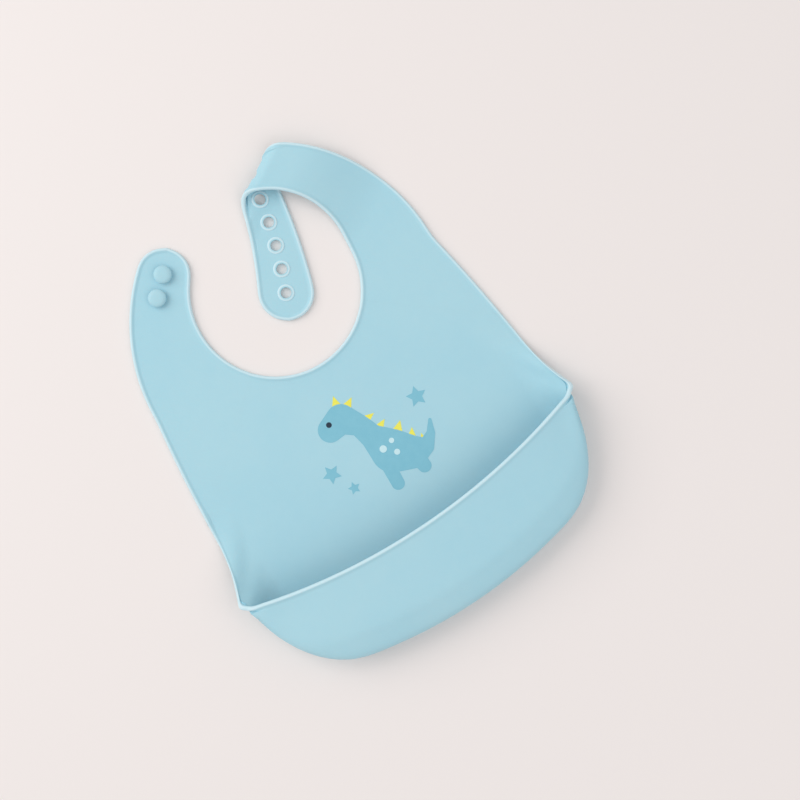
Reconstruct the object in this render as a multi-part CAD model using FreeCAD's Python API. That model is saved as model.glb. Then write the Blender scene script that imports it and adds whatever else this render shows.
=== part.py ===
import FreeCAD, Part
import math
import os

# A soft silicone bib lying on its back on a table, in millimetres.
# X runs across the bib, Y from the food pocket towards the neck, Z up from the table.
# The origin is on the underside, on the centre line, level with the middle of the pocket's mouth.
# One moulding is divided where it flexes, so each flexing region is a piece of its own.

V = FreeCAD.Vector
os.makedirs("parts", exist_ok=True)

# ---- sheet and rim -------------------------------------------------------------------
sheet = 2.0                 # thickness of the moulded sheet
bead_width = 2.0            # rim bead, measured in from the edge
bead_rise = 0.8             # rim bead above the sheet
slit = 0.3                  # gap between two bodies that flex against each other

# ---- apron ---------------------------------------------------------------------------
apron_half_width = 115.0    # to the outside of the pocket's side walls
ear_flare = 5.5             # side wall stands out this far past the apron's edge
strap_root_inset = 9.9      # apron's edge comes in this much on its way up to the straps
side_bulge = 0.9            # outward bow of the apron's edge
flare_length = 45.0         # side walls fade into the apron over this length
apron_length = 124.0        # from the mouth's ends up to the strap roots

# ---- neck opening --------------------------------------------------------------------
neck_radius = 51.3
neck_x = 3.3
neck_rise = 24.7            # centre of the opening above the strap roots

# ---- pocket --------------------------------------------------------------------------
pocket_drop = 71.5          # from the origin down to the bottom of the pocket
pocket_height = 26.0
pocket_bottom_radius = 300.0
pocket_corner_radius = 52.0
pocket_side_lean = 9.6      # degrees, side walls from the Y axis
shoulder_radius = 9.0       # outer edge of the front wall
foot_radius = 6.0           # outer edge on the table side
mouth_sag = 17.2            # mouth's middle below its ends
ear_y = 1.0                 # ends of the mouth
ear_height = 20.0           # top of the side walls at the mouth's ends
trough_top = 15.0           # the trough flexes below this height, the front wall moves above it
lip_width = 2.4
lip_rise = 1.0

# ---- stud strap (left) ---------------------------------------------------------------
stud_end_radius = 16.4
stud_end_angle = 138.0      # degrees about the neck centre
stud_strap_mid_angle = 165.0
stud_strap_mid_width = 40.7

# ---- neck strap (right), its fold and its tab ----------------------------------------
fold_angle = 29.0           # degrees, fold line from the X axis
fold_centre_angle = 59.5    # degrees about the neck centre
fold_inset = 5.3            # inner corner of the fold outside the neck circle
strap_end_half_width = 16.5 # along the fold line
strap_mid_angle = 30.0
strap_mid_width = 38.3
strap_inner_angle = 40.0
strap_inner_gap = 6.7       # inner edge leaves the neck circle by this much
strap_heading = 158.3       # degrees, strap direction where it reaches the fold
ramp_foot = 65.6            # strap starts to rise this far before the fold line
ramp_head = 15.6            # and is level from here on
bend_radius = 3.4           # middle of the sheet round the fold
tab_climb = 2.8             # tab rises off the table before the fold
tab_climb_length = 10.6
fold_shift = 15.0           # tab leaves the fold this far back along the fold line
tab_heading = -100.3        # degrees, tab direction as it leaves the fold
tab_length = 63.5           # fold line to the middle of the tab's round end
tab_curve_radius = 244.0
tab_end_radius = 16.8
tab_flank_angle = 6.0       # degrees behind its widest line, where the round end begins
tab_middle_half_width = 14.4

# ---- studs and holes -----------------------------------------------------------------
hole_pitch = 14.5
hole_count = 5
hole_radius = 3.3
hole_ring_width = 1.8
hole_ring_rise = 0.5
stud_shank_radius = 3.0
stud_head_radius = 5.5
stud_head_height = 2.8
stud_neck_length = 1.6      # free shank between strap and head
stud_flange_radius = 5.0
stud_flange_thickness = 0.8
stud_heading = -137.0       # degrees, from the end stud to the second one
stud_fit = 0.05

# ---- print ---------------------------------------------------------------------------
ink = 0.1

# ---- values that follow --------------------------------------------------------------
panel_half_width = apron_half_width - ear_flare
root_half_width = panel_half_width - strap_root_inset
neck_y = apron_length + neck_rise
neck = V(neck_x, neck_y, 0)
strap_under = tab_climb + 2 * bend_radius     # underside of the strap where it is level
far = 400.0                                   # larger than the bib, for cutting tools


def polar(centre, radius, degrees):
    """Point at a radius and an angle from a centre, in plan."""
    a = math.radians(degrees)
    return V(centre.x + radius * math.cos(a), centre.y + radius * math.sin(a), centre.z)


def heading(degrees):
    """Unit vector in plan."""
    return polar(V(0, 0, 0), 1.0, degrees)


def arc(a, b, c):
    """Edge of the arc from a through b to c."""
    return Part.Arc(a, b, c).toShape()


def line(a, b):
    return Part.LineSegment(a, b).toShape()


def face(edges):
    return Part.Face(Part.Wire(edges))


def prism(flat, low, high):
    """Flat face at z = 0 carried from height low to height high."""
    raised = flat.translated(V(0, 0, low))
    return raised.extrude(V(0, 0, high - low))


def block(x0, x1, y0, y1, z0, z1):
    return Part.makeBox(x1 - x0, y1 - y0, z1 - z0, V(x0, y0, z0))


def disc(centre, radius, low, high):
    return Part.makeCylinder(radius, high - low, V(centre.x, centre.y, low))


def inset(flat, distance):
    """The same face with its edge moved in."""
    return flat.makeOffset2D(-distance, 0, False, False, False)


# ---- fold line frame -----------------------------------------------------------------
along_fold = heading(fold_angle)
across_fold = heading(fold_angle + 90)
fold_centre = polar(neck, neck_radius + fold_inset + strap_end_half_width, fold_centre_angle)
tab_start = fold_centre - along_fold * fold_shift


def ribbon(profile):
    """Band whose (distance past the fold line, height) profile is carried along the fold line."""
    points = [fold_centre + across_fold * d + V(0, 0, z) - along_fold * far for d, z in profile]
    return Part.Face(Part.makePolygon(points + points[:1])).extrude(along_fold * (2 * far))


def strap_ribbon(rise):
    """The neck strap: flat at its root, then a ramp, then level up to the fold line."""
    top = sheet + rise
    return ribbon([(-far, 0), (-ramp_foot, 0), (-ramp_head, strap_under), (0, strap_under),
                   (0, strap_under + top), (-ramp_head, strap_under + top),
                   (-ramp_foot, top), (-far, top)])


def tab_ribbon(rise):
    """The tab: flat on the table, then climbing to the lower end of the fold."""
    top = sheet + rise
    end = -slit
    return ribbon([(-far, 0), (-tab_climb_length, 0), (end, tab_climb),
                   (end, tab_climb + top), (-tab_climb_length, top), (-far, top)])


# ---- plan outline of apron and straps ------------------------------------------------
def apron_outline():
    """Edge of the whole sheet: apron sides, stud strap, neck opening and neck strap."""
    low = -pocket_drop / 2
    middle_y = (flare_length + apron_length) / 2
    middle_x = (panel_half_width + root_half_width) / 2 + side_bulge
    widest = V(panel_half_width, flare_length, 0)
    root = V(root_half_width, apron_length, 0)
    middle = V(middle_x, middle_y, 0)

    def mirrored(p):
        return V(-p.x, p.y, 0)

    end_middle = polar(neck, neck_radius + stud_end_radius, stud_end_angle)
    end_outer = polar(neck, neck_radius + 2 * stud_end_radius, stud_end_angle)
    end_inner = polar(neck, neck_radius, stud_end_angle)
    end_tip = polar(end_middle, stud_end_radius, stud_end_angle - 90)
    left_middle = polar(neck, neck_radius + stud_strap_mid_width, stud_strap_mid_angle)
    right_middle = polar(neck, neck_radius + strap_mid_width, strap_mid_angle)
    outer_corner = fold_centre + along_fold * strap_end_half_width
    inner_corner = fold_centre - along_fold * strap_end_half_width
    past = heading(strap_heading) * (2 * sheet)
    circle_end = polar(neck, neck_radius, 0)
    circle_low = polar(neck, neck_radius, -90)
    inner_middle = polar(neck, neck_radius + strap_inner_gap, strap_inner_angle)
    return [
        line(V(-panel_half_width, low, 0), V(panel_half_width, low, 0)),
        line(V(panel_half_width, low, 0), widest),
        arc(widest, middle, root),
        arc(root, right_middle, outer_corner),
        line(outer_corner, outer_corner + past),
        line(outer_corner + past, inner_corner + past),
        line(inner_corner + past, inner_corner),
        arc(inner_corner, inner_middle, circle_end),
        arc(circle_end, circle_low, end_inner),
        arc(end_inner, end_tip, end_outer),
        arc(end_outer, left_middle, mirrored(root)),
        arc(mirrored(root), mirrored(middle), mirrored(widest)),
        line(mirrored(widest), V(-panel_half_width, low, 0)),
    ]


def tab_path(distance, side):
    """Point on the tab, at a distance from the fold line and a distance to its left."""
    turn = math.degrees(distance / tab_curve_radius)
    centre = polar(tab_start, tab_curve_radius, tab_heading - 90)
    return polar(centre, tab_curve_radius + side, tab_heading + 90 - turn)


def tab_outline():
    """Edge of the tab: two long arcs that widen towards a round end."""
    middle_at = tab_length / 2
    flank_at = tab_length - tab_end_radius * math.sin(math.radians(tab_flank_angle))
    flank = tab_end_radius * math.cos(math.radians(tab_flank_angle))
    start_left = tab_start + along_fold * strap_end_half_width
    start_right = tab_start - along_fold * strap_end_half_width
    back = heading(tab_heading) * (-2 * sheet)
    left_flank = tab_path(flank_at, flank)
    right_flank = tab_path(flank_at, -flank)
    tip = tab_path(tab_length + tab_end_radius, 0)
    return [
        line(start_right + back, start_left + back),
        line(start_left + back, start_left),
        arc(start_left, tab_path(middle_at, tab_middle_half_width), left_flank),
        arc(left_flank, tip, right_flank),
        arc(right_flank, tab_path(middle_at, -tab_middle_half_width), start_right),
        line(start_right, start_right + back),
    ]


# ---- pocket --------------------------------------------------------------------------
def pocket_outline(inward, top):
    """Side walls, round corners and a gently curved bottom, moved in by a distance."""
    lean = math.radians(pocket_side_lean)
    down = V(-math.sin(lean), -math.cos(lean), 0)
    inside = V(-math.cos(lean), math.sin(lean), 0)
    side = V(apron_half_width, ear_y, 0)
    bottom_centre = V(0, pocket_bottom_radius - pocket_drop, 0)
    start = side + inside * pocket_corner_radius - bottom_centre
    reach = pocket_bottom_radius - pocket_corner_radius
    half = start.dot(down)
    travel = -half + math.sqrt(half * half - start.dot(start) + reach * reach)
    corner_centre = bottom_centre + start + down * travel
    radius = pocket_corner_radius - inward
    side_end = corner_centre - inside * radius
    toward = (corner_centre - bottom_centre).normalize()
    bottom_end = corner_centre + toward * radius
    middle = corner_centre + (toward - inside).normalize() * radius
    lowest = V(0, inward - pocket_drop, 0)
    side_top = side_end - down * ((side_end.y - top) / down.y)

    def mirrored(p):
        return V(-p.x, p.y, 0)

    return face([
        line(side_top, side_end),
        arc(side_end, middle, bottom_end),
        arc(bottom_end, lowest, mirrored(bottom_end)),
        arc(mirrored(bottom_end), mirrored(middle), mirrored(side_end)),
        line(mirrored(side_end), mirrored(side_top)),
        line(mirrored(side_top), side_top),
    ])


def pillow(inward, low, high, shoulder, foot, top):
    """Pocket outline as a solid with rounded edges, open at its Y end."""
    body = prism(pocket_outline(inward, top), low, high)
    upper = [e for e in body.Edges if is_round(e, high, top)]
    body = body.makeFillet(shoulder, upper)
    lower = [e for e in body.Edges if is_round(e, low, top)]
    return body.makeFillet(foot, lower)


def is_round(edge, height, top):
    """True for the rim edges at one height, apart from the one across the open end."""
    box = edge.BoundBox
    level = abs(box.ZMin - height) < 1e-6 and abs(box.ZMax - height) < 1e-6
    return level and box.YMin < top - 1e-6 and box.YLength > 1e-6


def mouth_region(back, reach):
    """Everything on the neck side of the mouth's arc, moved towards the pocket by back."""
    ends = V(apron_half_width, ear_y - back, 0)
    middle = V(0, ear_y - mouth_sag - back, 0)
    left = V(-ends.x, ends.y, 0)
    wide = V(far, ends.y, 0)
    return face([
        arc(left, middle, ends),
        line(ends, wide),
        line(wide, V(far, reach, 0)),
        line(V(far, reach, 0), V(-far, reach, 0)),
        line(V(-far, reach, 0), V(-far, ends.y, 0)),
        line(V(-far, ends.y, 0), left),
    ])


open_end = ear_y + flare_length / 2
outer_pillow = pillow(0, 0, pocket_height, shoulder_radius, foot_radius, open_end)
inner_pillow = pillow(sheet, sheet, pocket_height - sheet, shoulder_radius - sheet,
                      foot_radius - sheet, open_end + 1)
pocket_shell = outer_pillow.cut(inner_pillow)
past_mouth = block(-far, far, ear_y, far, -1, pocket_height + 1)
pocket_shell = pocket_shell.cut(past_mouth)

# The floor inside the seam belongs to the apron; the wall round it, with its foot, is the trough.
foot_seam = foot_radius + sheet
floor_zone = prism(pocket_outline(foot_seam, open_end + 2), -1, sheet)
base_slice = pocket_shell.common(floor_zone)
trough = pocket_shell.common(block(-far, far, -far, far, -1, trough_top - slit)).cut(floor_zone)
cap = pocket_shell.common(block(-far, far, -far, far, trough_top, pocket_height + 1))
pocket_front = cap.cut(prism(mouth_region(0, far), trough_top - 1, pocket_height + 1))

# The lip is a bead on the front wall, along the mouth.
lip_band = mouth_region(lip_width, far).cut(mouth_region(0, far + 1))
lip_zone = prism(lip_band, pocket_height, pocket_height + lip_rise)
lip_reach = apron_half_width - shoulder_radius
pocket_lip = lip_zone.common(block(-lip_reach, lip_reach, -far, far, 0, far))

# ---- apron panel ---------------------------------------------------------------------
sheet_face = face(apron_outline())
bead_face = sheet_face.cut(inset(sheet_face, bead_width))
apron_zone = block(-far, far, ear_y, apron_length - slit / 2, -1, far)
bead_zone = block(-far, far, flare_length, apron_length - slit / 2, -1, far)
apron_panel = prism(sheet_face, 0, sheet).common(apron_zone)
apron_panel = apron_panel.fuse(prism(bead_face, 0, sheet + bead_rise).common(bead_zone))
apron_panel = apron_panel.fuse(base_slice).removeSplitter()


# ---- side walls up to the ends of the mouth ------------------------------------------
def gusset_section(share):
    """Leaning wall section; share is 0 where the wall fades out and 1 at the mouth's end."""
    y = flare_length + (ear_y + slit - flare_length) * share
    rise = share ** 1.5
    height = sheet + bead_rise + (ear_height - sheet - bead_rise) * rise
    foot = panel_half_width - sheet
    head = foot + (apron_half_width - sheet - foot) * rise
    corners = [(foot, sheet), (foot + sheet, sheet), (head + sheet, height), (head, height)]
    return [V(x, y, z) for x, z in corners]


def gusset(side):
    """One side wall as a ruled loft; side is -1 on the left and 1 on the right."""
    wires = []
    for step in range(6):
        points = [V(side * p.x, p.y, p.z) for p in gusset_section(step / 5)]
        wires.append(Part.makePolygon(points + points[:1]))
    return Part.makeLoft(wires, True, True)


# ---- studs ---------------------------------------------------------------------------
stud_upper_at = polar(neck, neck_radius + stud_end_radius, stud_end_angle)
stud_lower_at = stud_upper_at + heading(stud_heading) * hole_pitch


def stud(at):
    """Flange let into the back, shank through the strap, and a domed head."""
    neck_top = sheet + stud_neck_length
    dome_low = neck_top + stud_head_height * 0.4
    head = disc(at, stud_head_radius, neck_top, dome_low + stud_head_height * 0.6)
    rim = [e for e in head.Edges if abs(e.BoundBox.ZMin - neck_top - stud_head_height) < 1e-6]
    head = head.makeFillet(stud_head_height * 0.6, rim)
    shank = disc(at, stud_shank_radius, 0, neck_top)
    flange = disc(at, stud_flange_radius, 0, stud_flange_thickness)
    return flange.fuse([shank, head]).removeSplitter()


def stud_seat(at):
    """Stepped hole that a stud is pressed into."""
    shank = disc(at, stud_shank_radius + stud_fit, -1, sheet + 1)
    flange = disc(at, stud_flange_radius + stud_fit, -1, stud_flange_thickness + stud_fit)
    return shank.fuse(flange)


# ---- straps --------------------------------------------------------------------------
left_zone = block(-far, neck_x, apron_length + slit / 2, far, -1, far)
right_zone = block(neck_x, far, apron_length + slit / 2, far, -1, far)
stud_strap = prism(sheet_face, 0, sheet).fuse(prism(bead_face, 0, sheet + bead_rise))
stud_strap = stud_strap.common(left_zone)
stud_strap = stud_strap.cut([stud_seat(stud_upper_at), stud_seat(stud_lower_at)]).removeSplitter()

neck_strap = prism(sheet_face, -1, far).common(strap_ribbon(0))
strap_bead = prism(bead_face, -1, far).common(strap_ribbon(bead_rise))
neck_strap = neck_strap.fuse(strap_bead).common(right_zone).removeSplitter()


def fold_section(degrees, half_width):
    """Cross-section of the bend; 0 is at the strap, 180 at the tab."""
    a = math.radians(degrees)
    axis_z = strap_under + sheet / 2 - bend_radius
    shift = fold_shift * degrees / 180
    centre = fold_centre - along_fold * shift + V(0, 0, axis_z)
    out = across_fold * math.sin(a) + V(0, 0, math.cos(a))
    corners = []
    for side, radial in [(-1, -1), (1, -1), (1, 1), (-1, 1)]:
        lateral = along_fold * (side * half_width)
        corners.append(centre + lateral + out * (bend_radius + radial * sheet / 2))
    return Part.makePolygon(corners + corners[:1])


bend_steps = 12
bend = [fold_section(180 * i / bend_steps, strap_end_half_width) for i in range(bend_steps + 1)]
strap_fold = Part.makeLoft(bend, True, True)
crest = fold_centre - along_fold * (fold_shift / 2)
crest = crest + V(0, 0, strap_under + sheet / 2 - bend_radius)
strap_fold = strap_fold.cut(Part.makeCylinder(hole_radius, 4 * bend_radius, crest, across_fold))

tab_face = face(tab_outline())
tab_bead = tab_face.cut(inset(tab_face, bead_width))
size_tab = prism(tab_face, -1, far).common(tab_ribbon(0))
size_tab = size_tab.fuse(prism(tab_bead, -1, far).common(tab_ribbon(bead_rise)))
hole_places = [tab_path(tab_length - i * hole_pitch, 0) for i in range(hole_count)]
rings = [disc(p, hole_radius + hole_ring_width, -1, far) for p in hole_places]
for ring in rings:
    size_tab = size_tab.fuse(ring.common(tab_ribbon(hole_ring_rise)))
holes = [disc(p, hole_radius, -1, far) for p in hole_places]
size_tab = size_tab.cut(holes).removeSplitter()


# ---- printed ink films ---------------------------------------------------------------
def film(shapes, level):
    """Flat shapes as one thin film lying at a height."""
    solids = [prism(shape, level, level + ink) for shape in shapes]
    if len(solids) == 1:
        return solids[0]
    return solids[0].fuse(solids[1:]).removeSplitter()


def circle_face(x, y, radius):
    return face([Part.makeCircle(radius, V(x, y, 0))])


def link(a, b):
    """Quadrilateral between the outer tangents of two circles (x, y, radius)."""
    pa = V(a[0], a[1], 0)
    pb = V(b[0], b[1], 0)
    apart = pb - pa
    tilt = math.degrees(math.acos((a[2] - b[2]) / apart.Length))
    course = math.degrees(math.atan2(apart.y, apart.x))
    corners = [polar(pa, a[2], course + tilt), polar(pb, b[2], course + tilt),
               polar(pb, b[2], course - tilt), polar(pa, a[2], course - tilt)]
    return Part.Face(Part.makePolygon(corners + corners[:1]))


def limb(circles):
    """Shape swept by a circle that changes radius from place to place."""
    faces = [circle_face(*c) for c in circles]
    return faces + [link(a, b) for a, b in zip(circles, circles[1:])]


def star(x, y, radius, turn):
    """Plain five-pointed star."""
    points = []
    for i in range(10):
        reach = radius if i % 2 == 0 else radius * 0.5
        points.append(polar(V(x, y, 0), reach, turn + 36 * i))
    return Part.Face(Part.makePolygon(points + points[:1]))


def back_plate(circle, angle, height):
    """Triangle standing on a circle of the animal's back."""
    x, y, radius = circle
    centre = V(x, y, 0)
    half = math.degrees(math.atan(height * 0.5 / radius))
    corners = [polar(centre, radius, angle - half), polar(centre, radius + height, angle),
               polar(centre, radius, angle + half)]
    return Part.Face(Part.makePolygon(corners + corners[:1]))


print_x = 4.0               # middle of the printed picture
print_y = 40.0
spine = [(-20, 21, 7.5), (-11, 23, 9.0), (-4, 14, 6.5), (-1, 3, 7.5), (4, -10, 13.0),
         (13, -17, 10.0), (22, -19, 5.0), (29, -14, 2.6), (33, -7, 1.0)]
legs = [[(-3, -16, 4.2), (-4, -28, 4.0)], [(14, -18, 5.0), (15, -28, 4.2)]]
plates = [(1, 75, 5.5), (1, 30, 5.5), (2, 5, 5.0), (3, 25, 5.5), (4, 42, 6.0), (5, 55, 5.0),
          (6, 75, 3.6)]
eye_at = (-19.0, 24.0, 1.7)
spots = [(0.0, -6.0, 2.2), (7.0, -4.5, 1.6), (6.0, -12.0, 1.8)]
stars = [(-30.0, 38.5, 6.0, 100), (-23.4, 24.2, 4.0, 80), (38.2, 49.0, 6.5, 75)]


def placed(circle):
    x, y, radius = circle
    return (x + print_x, y + print_y, radius)


animal = limb([placed(c) for c in spine])
for leg in legs:
    animal = animal + limb([placed(c) for c in leg])
print_animal = film(animal, sheet)
print_stars = Part.makeCompound([film([star(*s)], sheet) for s in stars])
plate_faces = [back_plate(placed(spine[i]), angle, height) for i, angle, height in plates]
print_plates = Part.makeCompound([film([f], sheet).cut(print_animal) for f in plate_faces])
print_eye = film([circle_face(*placed(eye_at))], sheet + ink)
print_spots = Part.makeCompound([film([circle_face(*placed(s))], sheet + ink) for s in spots])

# ---- files ---------------------------------------------------------------------------
parts = {
    "apron_panel": apron_panel,
    "side_wall_left": gusset(-1),
    "side_wall_right": gusset(1),
    "pocket_trough": trough,
    "pocket_front": pocket_front,
    "pocket_lip": pocket_lip,
    "stud_strap": stud_strap,
    "stud_upper": stud(stud_upper_at),
    "stud_lower": stud(stud_lower_at),
    "neck_strap": neck_strap,
    "strap_fold": strap_fold,
    "size_tab": size_tab,
    "print_animal": print_animal,
    "print_plates": print_plates,
    "print_stars": print_stars,
    "print_eye": print_eye,
    "print_spots": print_spots,
}
for name, shape in parts.items():
    shape.exportStep("parts/" + name + ".step")
    box = shape.BoundBox
    print(name, len(shape.Solids), "solid(s)", round(shape.Volume, 1), "mm3", shape.isValid(),
          [round(v, 1) for v in (box.XMin, box.XMax, box.YMin, box.YMax, box.ZMin, box.ZMax)])
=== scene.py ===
import math

import bpy
import bmesh
import numpy as np
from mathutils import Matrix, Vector


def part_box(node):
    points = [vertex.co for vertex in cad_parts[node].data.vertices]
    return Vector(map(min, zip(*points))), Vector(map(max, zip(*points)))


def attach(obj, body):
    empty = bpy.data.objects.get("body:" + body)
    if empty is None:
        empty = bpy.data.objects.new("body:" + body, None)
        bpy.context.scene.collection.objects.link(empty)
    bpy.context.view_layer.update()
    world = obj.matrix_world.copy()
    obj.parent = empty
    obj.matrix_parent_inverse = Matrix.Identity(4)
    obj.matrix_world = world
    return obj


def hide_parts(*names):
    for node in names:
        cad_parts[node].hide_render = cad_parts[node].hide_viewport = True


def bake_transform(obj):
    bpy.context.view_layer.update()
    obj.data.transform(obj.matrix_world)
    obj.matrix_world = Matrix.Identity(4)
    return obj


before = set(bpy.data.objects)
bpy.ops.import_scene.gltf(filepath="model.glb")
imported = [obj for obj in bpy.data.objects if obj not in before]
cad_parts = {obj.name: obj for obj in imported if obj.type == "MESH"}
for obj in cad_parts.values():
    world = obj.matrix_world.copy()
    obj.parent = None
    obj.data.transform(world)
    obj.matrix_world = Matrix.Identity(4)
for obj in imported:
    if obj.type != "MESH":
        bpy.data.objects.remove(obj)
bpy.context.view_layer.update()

# A soft silicone bib on its back. Shapes are worked out in millimetres and put into meshes in
# metres. X runs across the bib, Y from the pocket to the neck, Z up.
MM = 0.001

# ---- sizes read from the frame -----------------------------------------------------------
HALF_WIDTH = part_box("pocket_trough")[1].x / MM      # outside of the pocket's side walls
POCKET_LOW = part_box("pocket_trough")[0].y / MM      # bottom of the pocket
POCKET_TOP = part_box("pocket_front")[1].z / MM       # outside of the front wall
PANEL_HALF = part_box("apron_panel")[1].x / MM        # apron's edge where the side walls begin
HINGE_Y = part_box("apron_panel")[1].y / MM           # strap roots
ROOT_HALF = -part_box("stud_strap")[0].x / MM         # apron's edge at the strap roots

# ---- sizes of the moulding ---------------------------------------------------------------
SHEET = 2.0                     # thickness
HALF = SHEET / 2
BEAD_WIDTH = 2.1
BEAD_RISE = 0.8                 # above the front face
RIM_RISE = 0.4                  # the same where the sheet stands up round the pocket
BACK_RISE = 0.75                # beyond the back face, where the edge is free of the table
BEAD_RUN = 3.4                  # bead and the fillet beside it, measured in from the edge
STANDING = 8.0                  # the edge counts as standing up where it is this far off the table
NECK = np.array([3.3, HINGE_Y + 24.8])      # middle of the neck opening
NECK_RADIUS = 51.3
SEAM_ANGLE = 50.0               # rays from the neck centre where apron and straps meet
SIDE_BOW = 0.9                  # the apron's sides bow out this far below the strap roots
FLARE_Y = 47.0                  # side walls begin to rise here
FLARE_POWER = 1.7               # and rise to the ears as this power of the distance
EAR = np.array([HALF_WIDTH + 3.2, 3.0])     # corner of the pocket's mouth
EAR_Z = 20.5                    # middle of the sheet at the ears
LIP_Z = POCKET_TOP + 0.2        # middle of the sheet at the middle of the mouth
LIP_POWER = 2.6                 # the lip falls to the ears as this power of the distance
MOUTH_SAG = 18.0                # the mouth bows down this far between the ears
MOUTH_DIP = 0.3                 # and this much again beside each ear
MOUTH_DIP_RUN = 14.0            # over this width
POCKET_LEAN = math.radians(9.6)             # the pocket's sides close in downwards
POCKET_CORNER = 52.0            # radius of the bottom corners
POCKET_BOTTOM = 300.0           # radius of the bottom edge

# ---- profile of the pocket ---------------------------------------------------------------
SHOULDER_DROP = 4.2             # the front wall falls from the lip to the shoulder
SHOULDER_FULL = 40.0            # by all of that where the front wall is this wide
SHOULDER_RUN = 8.0              # width of the shoulder's round
FOOT_RUN = 10.0                 # width of the foot's round
FOOT_LIMIT = 30.0
FOOT_LEAN = 13.0                # the foot lies this far in from the widest outline at the ears
FOOT_LEAN_END = 42.0            # and not at all this far below them
SLANT_LEAST = 0.62              # limits how far a slanting ray stretches those widths
SCOOP_RUN = 40.0                # width over which the apron lifts into a side wall
SCOOP_POWER = 2.9               # how steeply it ends: height rises as this power of the distance
SCOOP_RAY = math.radians(39.5)  # from here out the sheet rises in a scoop, not in a steep wall
STEEP_BLEND = math.radians(21.0)            # and this far inside that the steep wall is whole

# ---- fineness of the surfaces ------------------------------------------------------------
FAN = 231                       # even rays of the apron
EAR_FAN = 61                    # more rays, within 3 degrees of each ear
BEAD_RAMP, BEAD_TURN = 5, 13    # points of a bead's section on each fillet and round the edge
PROFILE = 700                   # points of a ray's profile before it is thinned to columns
COLUMNS = 104
SHARES = np.linspace(0, 1, COLUMNS)
SHARES = SHARES * (1.6 - 0.6 * SHARES)              # closer together towards the free edge
CONTROL_BLUR, RIM_BLUR = 1.6, 1.7           # degrees over which neighbouring rays are averaged
STRAP_ROWS = 170
TAB_ROWS = 190
EASE_ROWS = 12                  # a strap's rows turn square to its edges over this many


def unit(v):
    """Vectors divided by their lengths."""
    return v / np.maximum(np.linalg.norm(v, axis=-1, keepdims=True), 1e-12)


def smooth(x):
    """0 below 0, 1 above 1, and 3x^2 - 2x^3 between."""
    x = np.clip(x, 0, 1)
    return x * x * (3 - 2 * x)


def polar(centre, radius, degrees):
    """Point at a radius and an angle from +X about a centre."""
    turn = math.radians(degrees)
    return np.array([centre[0] + radius * math.cos(turn), centre[1] + radius * math.sin(turn)])


def arc(a, b, c, count):
    """Points on the circle through a, b and c, evenly spaced from a to c by way of b.

    The centre is where the perpendicular bisectors of a-b and b-c meet."""
    a, b, c = (np.asarray(p, float) for p in (a, b, c))
    m = np.array([b - a, c - b])
    centre = np.linalg.solve(m, [(b @ b - a @ a) / 2, (c @ c - b @ b) / 2])
    turn = [math.atan2(*(p - centre)[::-1]) for p in (a, b, c)]
    middle = (turn[1] - turn[0]) % (2 * math.pi)
    whole = (turn[2] - turn[0]) % (2 * math.pi)
    if middle > whole:
        whole -= 2 * math.pi
    t = turn[0] + whole * np.linspace(0, 1, count)
    return centre + np.linalg.norm(a - centre) * np.stack([np.cos(t), np.sin(t)], -1)


def chain(*runs):
    """Runs of points joined end to end, without the doubled ends."""
    return np.concatenate([runs[0]] + [r[1:] for r in runs[1:]])


def spread(points, shares):
    """Points at shares of a polyline's length."""
    steps = np.linalg.norm(np.diff(points, axis=0), axis=1)
    length = np.concatenate([[0], np.cumsum(steps)])
    at = np.asarray(shares) * length[-1]
    return np.stack([np.interp(at, length, points[:, k]) for k in range(points.shape[1])], -1)


def spline(controls, count):
    """Clamped uniform cubic B-spline curves, by de Boor's basis functions on whole arrays.

    controls is (..., controls, axes); the result is (..., count, axes)."""
    between = np.linspace(0, 1, controls.shape[-2] - 2)
    knots = np.concatenate([[0] * 3, between, [1] * 3])
    x = np.minimum(np.linspace(0, 1, count), 1 - 1e-9)
    basis = ((knots[:-1, None] <= x) & (x < knots[1:, None])).astype(float)
    for degree in range(1, 4):
        low = knots[degree:-1] - knots[:-degree - 1]
        high = knots[degree + 1:] - knots[1:-degree]
        left = np.where(low > 0, 1 / np.where(low > 0, low, 1), 0)[:, None]
        right = np.where(high > 0, 1 / np.where(high > 0, high, 1), 0)[:, None]
        basis = ((x - knots[:-degree - 1, None]) * left * basis[:-1]
                 + (knots[degree + 1:, None] - x) * right * basis[1:])
    return np.einsum("nc,...nk->...ck", basis, controls)


def eased(points, count, step=5.0):
    """The same curve with its corners rounded, by a B-spline on points one step apart."""
    length = np.linalg.norm(np.diff(points, axis=0), axis=1).sum()
    controls = spread(points, np.linspace(0, 1, max(6, int(length / step))))
    return spread(spline(controls, 4 * count), np.linspace(0, 1, count))


# ==== meshes ==============================================================================
def mesh_object(name, vertices, faces, rim=None):
    """An object at the origin from vertices in millimetres; rim is a 0 to 1 value per vertex, its
    share of the painted highlight.
    """
    mesh = bpy.data.meshes.new(name)
    mesh.from_pydata((vertices * MM).tolist(), [], faces.tolist())
    if rim is not None:
        mesh.attributes.new("rim", "FLOAT", "POINT").data.foreach_set("value", rim)
    piece = bpy.data.objects.new(name, mesh)
    bpy.context.scene.collection.objects.link(piece)
    return piece


def weld(piece, distance=0.01):
    """Merges doubled vertices, drops what collapsed, and turns all faces outwards."""
    work = bmesh.new()
    work.from_mesh(piece.data)
    bmesh.ops.remove_doubles(work, verts=work.verts, dist=distance * MM)
    bmesh.ops.dissolve_degenerate(work, edges=work.edges, dist=distance * MM / 10)
    bmesh.ops.recalc_face_normals(work, faces=work.faces)
    work.to_mesh(piece.data)
    work.free()
    return piece


def shade(piece, degrees=38):
    """Smooth shading, with the edges sharper than an angle kept."""
    piece.data.polygons.foreach_set("use_smooth", np.ones(len(piece.data.polygons), bool))
    piece.data.set_sharp_from_angle(angle=math.radians(degrees))
    return piece


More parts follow.
